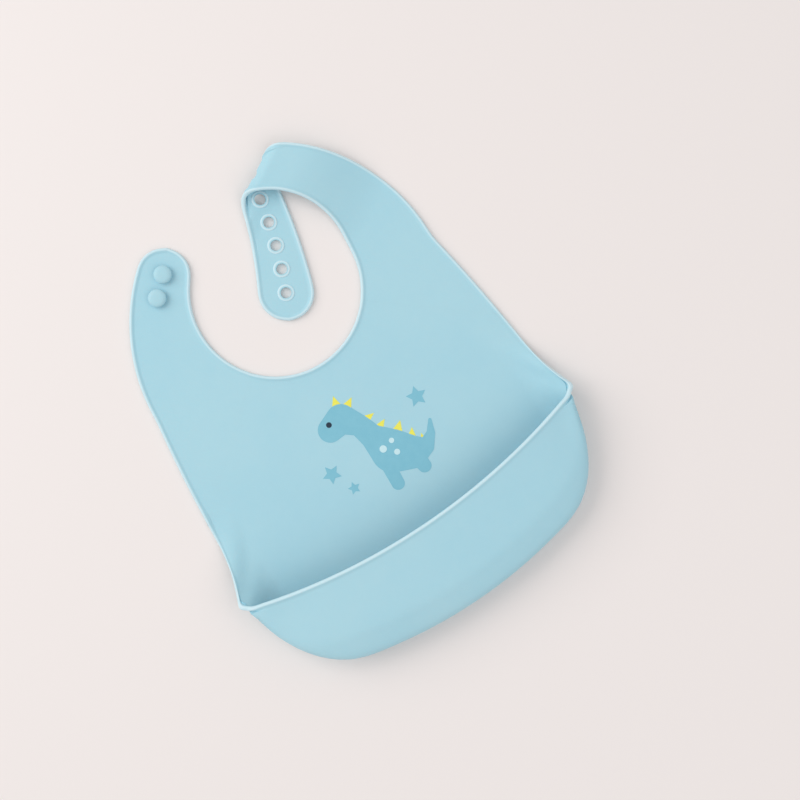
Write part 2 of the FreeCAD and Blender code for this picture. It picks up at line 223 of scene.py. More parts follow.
def grid_faces(rows, columns):
    """Quads of a grid whose last column joins the first."""
    i, j = np.meshgrid(np.arange(rows - 1), np.arange(columns), indexing="ij")
    k = (j + 1) % columns
    return np.stack([i * columns + j, i * columns + k, (i + 1) * columns + k,
                     (i + 1) * columns + j], -1).reshape(-1, 4)


def bead_section(front, back):
    """The rim bead's section for its rises on the front and the back, given per row.

    From the fillet on the front face, a cosine ramp up to the bead's height, then half an
    ellipse round the edge, then the same ramp down to the back face. Returns how far out each
    point lies, its height per row, and its share of the painted highlight on the bead."""
    ramp = np.linspace(0, 1, BEAD_RAMP, endpoint=False)
    turn = np.radians(np.linspace(90, -90, BEAD_TURN))
    rise = (1 - np.cos(np.pi * ramp)) / 2
    out_ramp = -BEAD_RUN + (BEAD_RUN - BEAD_WIDTH / 2) * ramp
    out = np.concatenate([out_ramp, BEAD_WIDTH / 2 * (np.cos(turn) - 1), out_ramp[::-1]])
    front, back = front[:, None], back[:, None]
    upper = np.sin(turn) >= 0
    height = np.concatenate([HALF + front * rise,
                             np.sin(turn) * np.where(upper, HALF + front, HALF + back),
                             -(HALF + back * rise[::-1])], axis=1)
    bead_highlight_share = np.concatenate([ramp, np.ones(BEAD_TURN), ramp[::-1]])
    return out, height, bead_highlight_share


def moulding(name, inside, normals, edges, beads):
    """A sheet with a bead on both edges: one closed section carried from row to row.

    inside is the middle surface between the beads, (rows, columns, 3), normals its front
    normals; edges are two (points, outward directions, normals) and beads two (front, back)
    rises per row. The section runs along the front face, round one bead, back along the back
    face and round the other bead."""
    rows, columns = inside.shape[:2]
    front = inside + HALF * normals
    back = inside - HALF * normals
    loops, highlight_shares = [], []
    for side in (1, 0):
        point, outward, normal = edges[side]
        out, height, bead_highlight_share = bead_section(*beads[side])
        section = (point[:, None] + outward[:, None] * out[None, :, None]
                   + normal[:, None] * height[..., None])
        if side == 1:
            loops += [front[:, 1:-1], section]
            highlight_shares += [np.zeros(columns - 2), bead_highlight_share]
        else:
            loops += [back[:, 1:-1][:, ::-1], section[:, ::-1]]
            highlight_shares += [np.zeros(columns - 2), bead_highlight_share[::-1]]
    ring = np.concatenate(loops, axis=1)
    faces = grid_faces(rows, ring.shape[1])
    # the rim attribute holds each point's share of the painted highlight on the beads
    piece = mesh_object(name, ring.reshape(-1, 3), faces, np.tile(np.concatenate(highlight_shares), rows))
    cap_ends(piece)
    return weld(piece)


def cap_ends(piece):
    """Fills the open end sections with one face each."""
    work = bmesh.new()
    work.from_mesh(piece.data)
    bmesh.ops.remove_doubles(work, verts=work.verts, dist=0.005 * MM)
    open_edges = [e for e in work.edges if e.is_boundary]
    bmesh.ops.holes_fill(work, edges=open_edges, sides=0)
    work.to_mesh(piece.data)
    work.free()


def edge_frame(points, inner, normal):
    """Direction out of an edge, square to it and in the sheet, away from the inner points."""
    along = unit(np.gradient(points, axis=0))
    out = unit(np.cross(along, normal))
    away = np.sign(np.sum(out * (points - inner), axis=-1, keepdims=True))
    return out * np.where(away == 0, 1, away)


# ==== plan curves =========================================================================
def side_curve(side):
    """Apron's edge in plan from the ear up to the strap root; side is -1 or 1.

    A B-spline draws in from the ear to the apron's own edge, and an arc follows it up."""
    start = np.array([PANEL_HALF, FLARE_Y - 2])
    root = np.array([ROOT_HALF, HINGE_Y])
    middle = (start + root) / 2 + [SIDE_BOW, 0]
    controls = np.array([EAR, EAR + [-4.2, 11.0], start + [0.5, -15.0], start])
    return chain(spline(controls, 40), arc(start, middle, root, 60)) * [side, 1]


def mouth_curve():
    """Edge of the pocket's mouth in plan, from the left ear to the right one."""
    whole = arc(EAR * [-1, 1], [0, EAR[1] - MOUTH_SAG], EAR, 241)
    near = smooth((np.abs(whole[:, 0]) - EAR[0] + MOUTH_DIP_RUN) / MOUTH_DIP_RUN)[:, None]
    return whole + 4 * near * (1 - near) * [0, -MOUTH_DIP]


def pocket_curve():
    """Widest outline of the pocket in plan: leaning sides, round corners, a gently curved bottom.

    A corner's centre lies a corner's radius in from the side, as far down it as makes the
    corner's circle touch the bottom's circle from inside."""
    down = np.array([-math.sin(POCKET_LEAN), -math.cos(POCKET_LEAN)])
    inward = np.array([-math.cos(POCKET_LEAN), math.sin(POCKET_LEAN)])
    bottom = np.array([0, POCKET_BOTTOM + POCKET_LOW + HALF])
    start = np.array([HALF_WIDTH - HALF, 1.0]) + inward * POCKET_CORNER - bottom
    fall = start @ down
    gap = POCKET_BOTTOM - POCKET_CORNER
    centre = bottom + start + down * (-fall + math.sqrt(fall * fall - start @ start + gap ** 2))
    side_end = centre - inward * POCKET_CORNER
    toward = unit(centre - bottom)
    bottom_end = centre + toward * POCKET_CORNER
    middle = centre + unit(toward - inward) * POCKET_CORNER
    top = side_end - down * (side_end[1] - EAR[1]) / down[1]
    right = chain(np.linspace(top, side_end, 40), arc(side_end, middle, bottom_end, 120),
                  arc(bottom_end, [0, POCKET_LOW + HALF], bottom_end * [-1, 1], 121)[:61])
    return chain(right, (right * [-1, 1])[::-1])


def reach(curve, rays):
    """Distance from the neck centre to a curve along each ray (radians from straight down)."""
    offset = curve - NECK
    angle = np.arctan2(offset[:, 0], -offset[:, 1])
    order = np.argsort(angle)
    return np.interp(rays, angle[order], np.linalg.norm(offset, axis=1)[order])


def ray_point(rays, distance):
    """Points in plan at distances from the neck centre along rays."""
    direction = np.stack([np.sin(rays), -np.cos(rays)], -1)
    return NECK + direction * np.asarray(distance)[..., None]


def with_height(plan, z):
    """Points or directions in plan, with a third coordinate."""
    return np.concatenate([plan, np.broadcast_to(z, plan.shape[:-1])[..., None]], -1)


# ==== apron and pocket ====================================================================
def rim_curve():
    """Apron's free edge in plan: down the left side, along the mouth and up the right side."""
    left, right = side_curve(-1)[::-1], side_curve(1)
    return eased(chain(left, mouth_curve(), right), 2400, step=3.0)


def evened(values, rays, degrees=1.0):
    """The same values averaged over neighbouring rays."""
    weight = np.exp(-((rays[:, None] - rays[None]) / math.radians(degrees)) ** 2)
    weight = weight * np.gradient(rays)[None]
    return np.tensordot(weight / weight.sum(axis=1, keepdims=True), values, 1)


def apron_controls(rays, edge, edge_z, wall, in_pocket):
    """Control points (distance, height) of each ray's profile.

    Across the floor, up the wall, over the shoulder and back along the front wall to the
    mouth. Beside the apron the wall is a scoop that rises as a power of the distance and
    ends at the edge, so the last controls fall together there. The bare shares place each
    control within the foot, the wall, the shoulder or the front wall."""
    front = wall - edge
    drop = SHOULDER_DROP * smooth(front / SHOULDER_FULL)
    top = np.where(in_pocket, edge_z - drop, edge_z)
    tall = np.clip((top - HALF) / (LIP_Z - HALF), 0, 1)
    wall_plan = ray_point(rays, wall)
    tangent = unit(np.gradient(wall_plan, axis=0))
    squareness = np.abs(tangent[:, 0] * -np.cos(rays) - tangent[:, 1] * np.sin(rays))
    slant = 1 / np.clip(squareness, SLANT_LEAST, 1)
    lean = FOOT_LEAN * smooth(1 - (EAR[1] - wall_plan[:, 1]) / FOOT_LEAN_END) * slant
    foot = np.minimum(FOOT_RUN * slant, FOOT_LIMIT) * tall ** 0.5
    back = np.minimum(SHOULDER_RUN * slant, front * 0.3)
    far_back = np.minimum(2 * SHOULDER_RUN * slant, front * 0.62)
    level = HALF + 0 * rays
    mid = HALF + (top - HALF) * 0.62
    first = [[NECK_RADIUS + 0 * rays, level],                       # neck edge
             [NECK_RADIUS + 8 + 0 * rays, level]]
    steep = [[wall - 2.2 * foot - lean, level],                     # floor
             [wall - foot - lean, level],                           # foot
             [wall - 0.35 * foot - 0.72 * lean, HALF + (mid - HALF) * 0.22],
             [wall - 0.10 * lean, mid],                             # middle of the wall
             [wall - back * 0.15, top - (top - HALF) * 0.2 * smooth(front / 20)],
             [wall - back - front * 0.12, top]]                     # shoulder
    scoop = [[wall - SCOOP_RUN * (1 - t), HALF + (top - HALF) * t ** SCOOP_POWER]
             for t in (0.0, 0.3, 0.55, 0.77, 0.93, 1.0)]
    last = [[wall - far_back, top + (edge_z - top) * 0.25],         # front wall
            [edge + front * 0.14, edge_z - (edge_z - top) * 0.22],
            [edge, edge_z]]                                         # mouth, or the apron's edge
    share = smooth((SCOOP_RAY - np.abs(rays)) / STEEP_BLEND)
    middle = np.array(scoop) * (1 - share) + np.array(steep) * share
    controls = np.concatenate([first, middle, last]).transpose(2, 0, 1)
    soft = evened(controls, rays, CONTROL_BLUR)
    soft[:, [0, -1]] = controls[:, [0, -1]]
    return soft


def fan_of_rays(ears):
    """Rays from one seam to the other: evenly spaced, and many more close to the ears."""
    limit = math.radians(SEAM_ANGLE)
    even = np.linspace(-limit, limit, FAN)
    fine = [ear + np.radians(np.linspace(-3, 3, EAR_FAN)) for ear in ears]
    rays = np.unique(np.round(np.concatenate([even, *fine]), 5))
    rays[[0, -1]] = -limit, limit
    return rays


def edge_height(rays, plan, in_pocket):
    """Height of the free edge: up a power curve to the ears, and arched along the mouth."""
    rise = np.clip((FLARE_Y - plan[:, 1]) / (FLARE_Y - EAR[1]), 0, 1) ** FLARE_POWER
    arch = 1 - np.clip(np.abs(plan[:, 0]) / EAR[0], 0, 1) ** LIP_POWER
    height = np.where(in_pocket, EAR_Z + (LIP_Z - EAR_Z) * arch, HALF + (EAR_Z - HALF) * rise)
    by_seam = np.abs(rays) > math.radians(SEAM_ANGLE - 2)
    return np.where(by_seam, height, evened(height[:, None], rays)[:, 0])


def between_beads(sheet):
    """Points of each profile between its two beads, and the front normals there.

    The points lie at the same shares of each profile's length. A normal is square to the
    profile and to the line through the same share of the profiles beside it."""
    steps = np.linalg.norm(np.diff(sheet, axis=1), axis=2)
    length = np.concatenate([np.zeros((len(sheet), 1)), np.cumsum(steps, axis=1)], axis=1)
    slope = np.gradient(sheet, axis=1)
    inside, across = np.empty((2, len(sheet), COLUMNS, 3))
    for row in range(len(sheet)):
        at = BEAD_RUN + (length[row, -1] - 2 * BEAD_RUN) * SHARES
        for axis in range(3):
            inside[row, :, axis] = np.interp(at, length[row], sheet[row, :, axis])
            across[row, :, axis] = np.interp(at, length[row], slope[row, :, axis])
    normals = unit(np.cross(across, np.gradient(inside, axis=0)))
    on_floor = 5                # a column where the front faces up
    return inside, normals * np.sign(normals[:, on_floor, None, 2:3])


def rim_directions(rays, rim, inner, normals):
    """Directions out of the free edge and towards its front, averaged over near rays.

    Out is square to the edge, or along the ray where the ray meets the edge at a slant."""
    along_ray = unit(rim - inner)
    square = edge_frame(rim, inner, normals)
    slanted, straight = 0.6, 0.8            # cosines of the angle between the two
    turn = smooth((np.sum(along_ray * square, -1) - slanted) / (straight - slanted))[:, None]
    out = unit(evened(unit(along_ray + (square - along_ray) * turn), rays, RIM_BLUR))
    up = evened(normals, rays, RIM_BLUR)
    return out, unit(up - out * np.sum(up * out, axis=1, keepdims=True))


def apron_and_pocket():
    """Apron, side walls and pocket as one sheet, one row for each ray from the neck centre.

    Also gives what a strap needs to carry on from each seam: the last row and the directions
    out of its two edges."""
    ears = [math.atan2(side * EAR[0] - NECK[0], NECK[1] - EAR[1]) for side in (-1, 1)]
    rays = fan_of_rays(ears)
    in_pocket = (rays > ears[0]) & (rays < ears[1])
    edge = reach(rim_curve(), rays)
    wall = np.where(in_pocket, np.maximum(reach(pocket_curve(), rays), edge), edge)
    edge_z = edge_height(rays, ray_point(rays, edge), in_pocket)
    profile = spline(apron_controls(rays, edge, edge_z, wall, in_pocket), PROFILE)
    plan = ray_point(np.repeat(rays[:, None], PROFILE, 1), profile[..., 0])
    sheet = with_height(plan, profile[..., 1])
    inside, normals = between_beads(sheet)
    neck, rim = sheet[:, 0], sheet[:, -1]
    neck_out = edge_frame(neck, inside[:, 0], normals[:, 0])
    rim_out, rim_up = rim_directions(rays, rim, inside[:, -1], normals[:, -1])
    standing = smooth((edge_z - HALF) / STANDING)
    flat = np.zeros(len(rays))
    beads = [(flat + BEAD_RISE, flat),
             (BEAD_RISE - (BEAD_RISE - RIM_RISE) * standing, BACK_RISE * standing)]
    edges = [(neck, neck_out, normals[:, 0]), (rim, rim_out, rim_up)]
    seams = [(inside[k], neck_out[k], rim_out[k]) for k in (0, -1)]
    return shade(moulding("apron_moulding", inside, normals, edges, beads)), seams


apron, seams = apron_and_pocket()
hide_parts("apron_panel", "side_wall_left", "side_wall_right", "pocket_trough",
            "pocket_front", "pocket_lip")
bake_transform(apron)


# ==== straps ==============================================================================
END_RADIUS = 16.4               # the stud strap's round end
END_ANGLE = 138.0               # and its bearing from the neck centre
END_MIDDLE = polar(NECK, NECK_RADIUS + END_RADIUS, END_ANGLE)
FOLD_ANGLE = math.radians(29.0)             # turn of the fold line from X
ALONG = np.array([math.cos(FOLD_ANGLE), math.sin(FOLD_ANGLE)])
ACROSS = np.array([-math.sin(FOLD_ANGLE), math.cos(FOLD_ANGLE)])
FOLD_HALF = 16.5                # half of the strap's length along the fold line
FOLD_GAP = 5.3                  # from the neck circle to the fold line's inner end
FOLD_MIDDLE = polar(NECK, NECK_RADIUS + FOLD_GAP + FOLD_HALF, 59.5)
FOLD_SEAM = -13.0               # where the strap's piece ends, before the fold line
STUD_OUTER = polar(NECK, NECK_RADIUS + 40.7, 165.0)     # on the stud strap's outer edge
NECK_OUTER = polar(NECK, NECK_RADIUS + 38.3, 30.0)      # on the neck strap's outer edge
NECK_INNER = polar(NECK, NECK_RADIUS + 6.7, 40.0)       # and on its inner edge
STRAP_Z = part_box("neck_strap")[1].z / MM - BEAD_RISE - HALF   # middle of its level stretch


def seam_to_root(side):
    """Apron's edge from the seam up to the strap root."""
    curve = side_curve(side)
    ray = math.radians(SEAM_ANGLE) * side
    start = ray_point(ray, reach(curve, np.array([ray]))[0])
    return np.concatenate([[start], curve[curve[:, 1] > start[1] + 1.0]])


def neck_arc(side, degrees):
    """Neck circle from the seam to an angle about its centre."""
    straight_down = 270
    turn = np.radians(np.linspace(straight_down + SEAM_ANGLE * side, degrees, 80))
    return NECK + NECK_RADIUS * np.stack([np.cos(turn), np.sin(turn)], -1)


def fold_frame(plan):
    """Distances along and past the fold line, from the fold's middle."""
    local = plan - FOLD_MIDDLE
    return np.stack([local @ ALONG, local @ ACROSS], -1)


def ladder(inner, outer):
    """Rungs between two edges laid out flat.

    Returns the points between the beads and the two outward directions. A rung starts and
    ends where the beads do, square to the edges; the first rows ease into that from the
    rung's own direction, which is how the apron's last row lies."""
    rows = len(inner)
    level = np.tile([0.0, 0.0, 1.0], (rows, 1))
    flat = [with_height(e, 0.0) for e in (inner, outer)]
    centre = (flat[0] + flat[1]) / 2
    out = [edge_frame(e, centre, level)[:, :2] for e in flat]
    rung = unit(outer - inner)
    ease = smooth(np.arange(rows) / EASE_ROWS)[:, None]
    start = inner + BEAD_RUN * unit(rung * (1 - ease) - out[0] * ease)
    end = outer - BEAD_RUN * unit(rung * (1 - ease) + out[1] * ease)
    return start[:, None] + (end - start)[:, None] * SHARES[:, None], out


def strap_rows(inner, outer, seam, place, direct):
    """Middle surface, front normals and edges of a strap that carries on from the apron.

    place puts flat points in space and gives their normals; direct does so for directions."""
    plan, out = ladder(inner, outer)
    inside, normals = place(plan)
    inside[0] = seam[0]
    ease = smooth(np.arange(len(inner)) / EASE_ROWS)[:, None]
    edges = []
    for points, away, from_seam in zip((inner, outer), out, seam[1:]):
        spot, facing = place(points)
        edges.append((spot, unit(direct(points, away) * ease + from_seam * (1 - ease)), facing))
    return inside, normals, edges


def level_place(plan):
    """Flat points on the table, in space, with their normals."""
    return with_height(plan, HALF), np.broadcast_to([0.0, 0.0, 1.0], (*plan.shape[:-1], 3))


def level_direction(plan, way):
    """A direction on the table, in space."""
    return with_height(way, 0.0)


def stud_strap(seam):
    """Left strap: the neck circle inside, two arcs outside, and a round end."""
    tip, inner_round, outer_round = (polar(END_MIDDLE, END_RADIUS, END_ANGLE + turn)
                                     for turn in (-90, -135, -45))
    end_inner = polar(NECK, NECK_RADIUS, END_ANGLE)
    end_outer = polar(NECK, NECK_RADIUS + 2 * END_RADIUS, END_ANGLE)
    inner = chain(neck_arc(-1, END_ANGLE), arc(end_inner, inner_round, tip, 40))
    outer = chain(seam_to_root(-1), arc([-ROOT_HALF, HINGE_Y], STUD_OUTER, end_outer, 80),
                  arc(end_outer, outer_round, tip, 40))
    inside, normals, edges = strap_rows(eased(inner, STRAP_ROWS), eased(outer, STRAP_ROWS),
                                        seam, level_place, level_direction)
    flat = np.zeros(STRAP_ROWS)
    bead = (flat + BEAD_RISE, flat)
    return moulding("stud_strap_skin", inside, normals, edges, [bead, bead])


def neck_strap_edges():
    """Both edges of the neck strap in plan, from the seam to the fold line."""
    inner_corner = FOLD_MIDDLE - ALONG * FOLD_HALF
    outer_corner = FOLD_MIDDLE + ALONG * FOLD_HALF
    inner = chain(neck_arc(1, 360), arc(polar(NECK, NECK_RADIUS, 0), NECK_INNER, inner_corner, 60))
    outer = chain(seam_to_root(1), arc([ROOT_HALF, HINGE_Y], NECK_OUTER, outer_corner, 80))
    return inner, outer


def split_at_seam(edge):
    """An edge of the neck strap up to the seam before the fold, and the rest."""
    past = fold_frame(edge)[:, 1]
    cut = np.argmax(past > FOLD_SEAM)
    share = (FOLD_SEAM - past[cut - 1]) / (past[cut] - past[cut - 1])
    point = edge[cut - 1] + (edge[cut] - edge[cut - 1]) * share
    return np.concatenate([edge[:cut], [point]]), np.concatenate([[point], edge[cut:]])


# ---- the fold and the tab, laid out flat as (along the fold line, over the fold) ---------
BEND_REACH = 6.0                # the bend is half an ellipse: this far out
BEND_RADIUS = 4.1               # and this far up and down
BEND_START = -2.1               # it begins here, past the fold line
BEND_LENGTH = math.pi * math.sqrt((BEND_REACH ** 2 + BEND_RADIUS ** 2) / 2)
TAB_LIFT = STRAP_Z - 2 * BEND_RADIUS - HALF         # the tab leaves the bend this high
RISE_FROM = 68.0                # the strap starts to rise this far before the fold line
RISE_RUN = 54.0
FALL_RUN = 12.0                 # the tab comes down to the table over this length
TAB_SHIFT = 15.0                # tab leaves the fold this far back along it
TAB_START = FOLD_MIDDLE - ALONG * TAB_SHIFT
TAB_HEADING = -100.3            # direction in which it leaves, in degrees from X
TAB_CURVE = 244.0               # radius of its middle line
TAB_LENGTH = 63.5               # from the fold to the middle of the round end
TAB_END = 16.8                  # radius of the round end
TAB_FLANK = 1.8                 # the round end begins this far before its middle
TAB_ROUND = (0.7, 0.714)        # a point halfway round it, along and aside, in radii
TAB_MIDDLE_HALF = 14.4          # half of the width at the waist
HOLES = 5                       # on the tab, besides the one on the fold's crest
HOLE_PITCH = 14.5
HOLE_RADIUS = 3.3
RING_RADIUS = 5.2               # outside of the raised ring round a hole
RING_RISE = 0.55
BORE_REACH = 2.2                # the tool that cuts a hole reaches this far to either side


def over_fold(m):
    """Past-the-fold distance, height and their slopes at a distance m over the fold.

    A gentle rise, level, then half an ellipse, then a smooth fall to the table. The slopes
    are for one BEND_REACH of distance; the slope of 3t^2 - 2t^3 is 6t(1 - t)."""
    turn = np.clip((m - BEND_START) / BEND_LENGTH, 0, 1) * math.pi
    after = np.maximum(m - BEND_START - BEND_LENGTH, 0)
    past = np.minimum(m, BEND_START) + BEND_REACH * np.sin(turn) - after
    fall = np.clip(after / FALL_RUN, 0, 1)
    rise = np.clip((m + RISE_FROM) / RISE_RUN, 0, 1)
    height = STRAP_Z - HALF
    z = STRAP_Z - BEND_RADIUS + BEND_RADIUS * np.cos(turn) - TAB_LIFT * smooth(fall)
    z = z - height * (1 - smooth(rise))
    slope = 6 * (height / RISE_RUN * rise * (1 - rise) - TAB_LIFT / FALL_RUN * fall * (1 - fall))
    run, climb = BEND_REACH * np.cos(turn), BEND_REACH * slope - BEND_RADIUS * np.sin(turn)
    return past, z, run, climb


def folded(flat, off=0.0):
    """Points of the flat layout in space, moved off along their front normals, and those."""
    past, z, run, climb = over_fold(flat[..., 1])
    size = np.hypot(run, climb)
    run, climb = run / size, climb / size
    plan = FOLD_MIDDLE + flat[..., :1] * ALONG + past[..., None] * ACROSS
    normal = np.concatenate([(-climb)[..., None] * ACROSS, run[..., None]], -1)
    return with_height(plan, z) + normal * np.asarray(off)[..., None], normal


def folded_direction(flat, way):
    """A direction in the flat layout, in space."""
    run, climb = over_fold(flat[..., 1])[2:]
    size = np.hypot(run, climb)
    plan = way[..., :1] * ALONG + (way[..., 1] * run / size)[..., None] * ACROSS
    return unit(with_height(plan, way[..., 1] * climb / size))


def tab_point(distance, side):
    """Point of the tab in plan: its middle line is an arc of a large circle."""
    centre = polar(TAB_START, TAB_CURVE, TAB_HEADING - 90)
    return polar(centre, TAB_CURVE + side, TAB_HEADING + 90 - math.degrees(distance / TAB_CURVE))


def laid_out(plan):
    """Plan points of the folded tab, in the flat layout."""
    local = fold_frame(plan)
    return np.stack([local[..., 0], BEND_START + BEND_LENGTH + BEND_START - local[..., 1]], -1)


def right_strap_edges():
    """Both edges of strap and tab in the flat layout, from the apron's seam to the tip.

    Each has STRAP_ROWS points as far as the strap's piece goes, and then the tab's."""
    tip = tab_point(TAB_LENGTH + TAB_END, 0)
    edges = []
    for edge, side in zip(neck_strap_edges(), (-1, 1)):
        start = TAB_START + ALONG * (side * FOLD_HALF)
        flank = tab_point(TAB_LENGTH - TAB_FLANK, side * TAB_END)
        corner = tab_point(TAB_LENGTH + TAB_END * TAB_ROUND[0], side * TAB_END * TAB_ROUND[1])
        rest = chain(arc(start, tab_point(TAB_LENGTH / 2, side * TAB_MIDDLE_HALF), flank, 60),
                     arc(flank, corner, tip, 40))
        near, far = split_at_seam(edge)
        far = chain(fold_frame(far), laid_out(rest))
        edges.append(chain(eased(fold_frame(near), STRAP_ROWS), eased(far, TAB_ROWS, step=4.0)))
    return edges


def neck_strap_and_tab(seam):
    """Right strap, and the fold and tab that follow it, as two pieces with one shared row."""
    flat = right_strap_edges()
    inside, normals, edges = strap_rows(*flat, seam, folded, folded_direction)
    beads = []
    for edge in flat:
        over = smooth(edge[:, 1] / BEND_LENGTH)
        beads.append((BEAD_RISE * (1 - over), BACK_RISE * over))
    pieces = []
    for name, rows in (("neck_strap_skin", slice(0, STRAP_ROWS)),
                       ("size_tab_skin", slice(STRAP_ROWS - 1, None))):
        part = [tuple(run[rows] for run in edge) for edge in edges]
        rises = [tuple(rise[rows] for rise in bead) for bead in beads]
        pieces.append(moulding(name, inside[rows], normals[rows], part, rises))
    return pieces


def lathe(name, profile, place, count=48, rim=0.0):
    """A closed profile of (radius, height) pairs turned round an axis; place maps flat points.

    The profile starts and ends on the axis."""
    turn = np.linspace(0, 2 * math.pi, count, endpoint=False)
    ring = np.stack([np.cos(turn), np.sin(turn)], -1)
    flat = profile[:, None, :1] * ring[None]
    height = np.repeat(profile[:, None, 1:], count, axis=1)
    points = place(flat, height).reshape(-1, 3)
    faces = grid_faces(len(profile), count)
    # rim: share of the painted highlight, the same on every point of the turned shape
    return weld(mesh_object(name, points, faces, np.full(len(points), rim)), distance=0.002)


def carve(piece, tool, operation):
    """Adds a tool's shape to a piece, or takes it away, and removes the tool."""
    change = piece.modifiers.new("carve", "BOOLEAN")
    change.object = tool
    change.operation = operation
    change.solver = "MANIFOLD"
    finished = piece.evaluated_get(bpy.context.evaluated_depsgraph_get())
    result = bpy.data.meshes.new_from_object(finished)
    piece.modifiers.clear()
    old, piece.data = piece.data, result
    bpy.data.meshes.remove(old)
    bpy.data.objects.remove(tool)


def pierce(tab):
    """Six ringed holes on the tab's middle line, one of them on the fold's crest."""
    crest = np.array([-TAB_SHIFT / 2, BEND_START + BEND_LENGTH / 2])
    holes = [laid_out(tab_point(TAB_LENGTH - i * HOLE_PITCH, 0)) for i in range(HOLES)] + [crest]
    turn = np.radians(np.linspace(0, 90, 7))
    middle, wide = (HOLE_RADIUS + RING_RADIUS) / 2, (RING_RADIUS - HOLE_RADIUS) / 2
    rounded = np.stack([middle + wide * np.sin(turn), -HALF - RING_RISE * np.cos(turn)], -1)
    sunk = [[RING_RADIUS, -HALF / 2], [0, -HALF / 2]]
    ring = np.concatenate([[[0, -HALF - RING_RISE]], rounded, sunk])
    bore = np.array([[0, -BORE_REACH], [HOLE_RADIUS, -BORE_REACH], [HOLE_RADIUS, BORE_REACH],
                     [0, BORE_REACH]])
    # rim values are shares of the painted highlight: whole on the raised rings, 0.6 on the hole
    # walls
    for profile, operation, rim in ((ring, "UNION", 1.0), (bore, "DIFFERENCE", 0.6)):
        for hole in holes:
            def place(flat, height):
                return folded(flat + hole, height[..., 0])[0]

            carve(tab, lathe("tool", profile, place, rim=rim), operation)
    weld(tab, distance=0.004)


# ---- studs -------------------------------------------------------------------------------
FLANGE_RADIUS = 5.0
FLANGE_TOP = 0.8
SHANK_RADIUS = 3.0
HEAD_RADIUS = 5.5
HEAD_Z = 4.5                    # widest place of the head
HEAD_DOME = 1.9                 # its height above that
HEAD_UNDER = 0.9                # and its depth below
SEAT_GAP = 0.05                 # room round the shank and over the flange


def stud_profile():
    """Flange let into the back, shank, and a mushroom head: (radius, height) pairs.

    The head's radius falls as a power of a cosine, which makes it flatter than a ball."""
    head = np.radians(np.linspace(-60, 90, 22))
    height = HEAD_Z + np.where(head < 0, HEAD_UNDER, HEAD_DOME) * np.sin(head)
    dome = np.stack([HEAD_RADIUS * np.cos(head) ** 0.55, height], -1)
    low = np.array([[0, 0.02], [FLANGE_RADIUS - 0.2, 0.02], [FLANGE_RADIUS, 0.2],
                    [FLANGE_RADIUS, FLANGE_TOP], [SHANK_RADIUS, FLANGE_TOP],
                    [SHANK_RADIUS, 3.2], [SHANK_RADIUS + 0.6, 3.65]])
    return np.concatenate([low, dome, [[0, HEAD_Z + HEAD_DOME]]])


def studs(strap):
    """Both studs, and the stepped holes that they sit in."""
    wide, step = FLANGE_RADIUS + 2 * SEAT_GAP, FLANGE_TOP + SEAT_GAP
    narrow = SHANK_RADIUS + SEAT_GAP
    seat = np.array([[0, -1], [wide, -1], [wide, step], [narrow, step], [narrow, 3.5], [0, 3.5]])
    made = []
    for name in ("stud_upper", "stud_lower"):
        low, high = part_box(name)
        middle = np.array([low.x + high.x, low.y + high.y]) / 2 / MM

        def place(flat, height):
            return np.concatenate([flat + middle, height], -1)

        carve(strap, lathe("tool", seat, place), "DIFFERENCE")
        made.append(shade(lathe(name + "_button", stud_profile(), place, 72), degrees=50))
        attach(made[-1], "left_strap")
        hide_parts(name)
    return made


left_strap = stud_strap(seams[0])
buttons = studs(left_strap)
right_strap, tab = neck_strap_and_tab(seams[1])
pierce(tab)
for strap in (left_strap, right_strap, tab):
    shade(strap)
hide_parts("stud_strap")
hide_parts("neck_strap")
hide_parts("strap_fold", "size_tab")
for strap, body in ((left_strap, "left_strap"), (right_strap, "right_strap")):
    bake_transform(strap)
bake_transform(tab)


# ==== finishes ============================================================================
class Level:
    """A node's output. Sums, differences and products of it add Math nodes."""

    def __init__(self, finish, socket):
        self.finish = finish
        self.socket = socket

    def maths(self, operation, *values):
        """A Math node on the values, in their order."""
        return self.finish.node("Math", {"operation": operation}, dict(enumerate(values)))

    def __add__(self, other):
        return self.maths("ADD", self, other)

    def __sub__(self, other):
        return self.maths("SUBTRACT", self, other)

    def __rsub__(self, other):
        return self.maths("SUBTRACT", other, self)

    def __mul__(self, other):
        return self.maths("MULTIPLY", self, other)

    __radd__ = __add__
    __rmul__ = __mul__

    def between(self, low, high):
        """0 at low, 1 at high, eased."""
        return self.finish.node("MapRange", {"interpolation_type": "SMOOTHSTEP"},
                                {"Value": self, "From Min": low, "From Max": high})


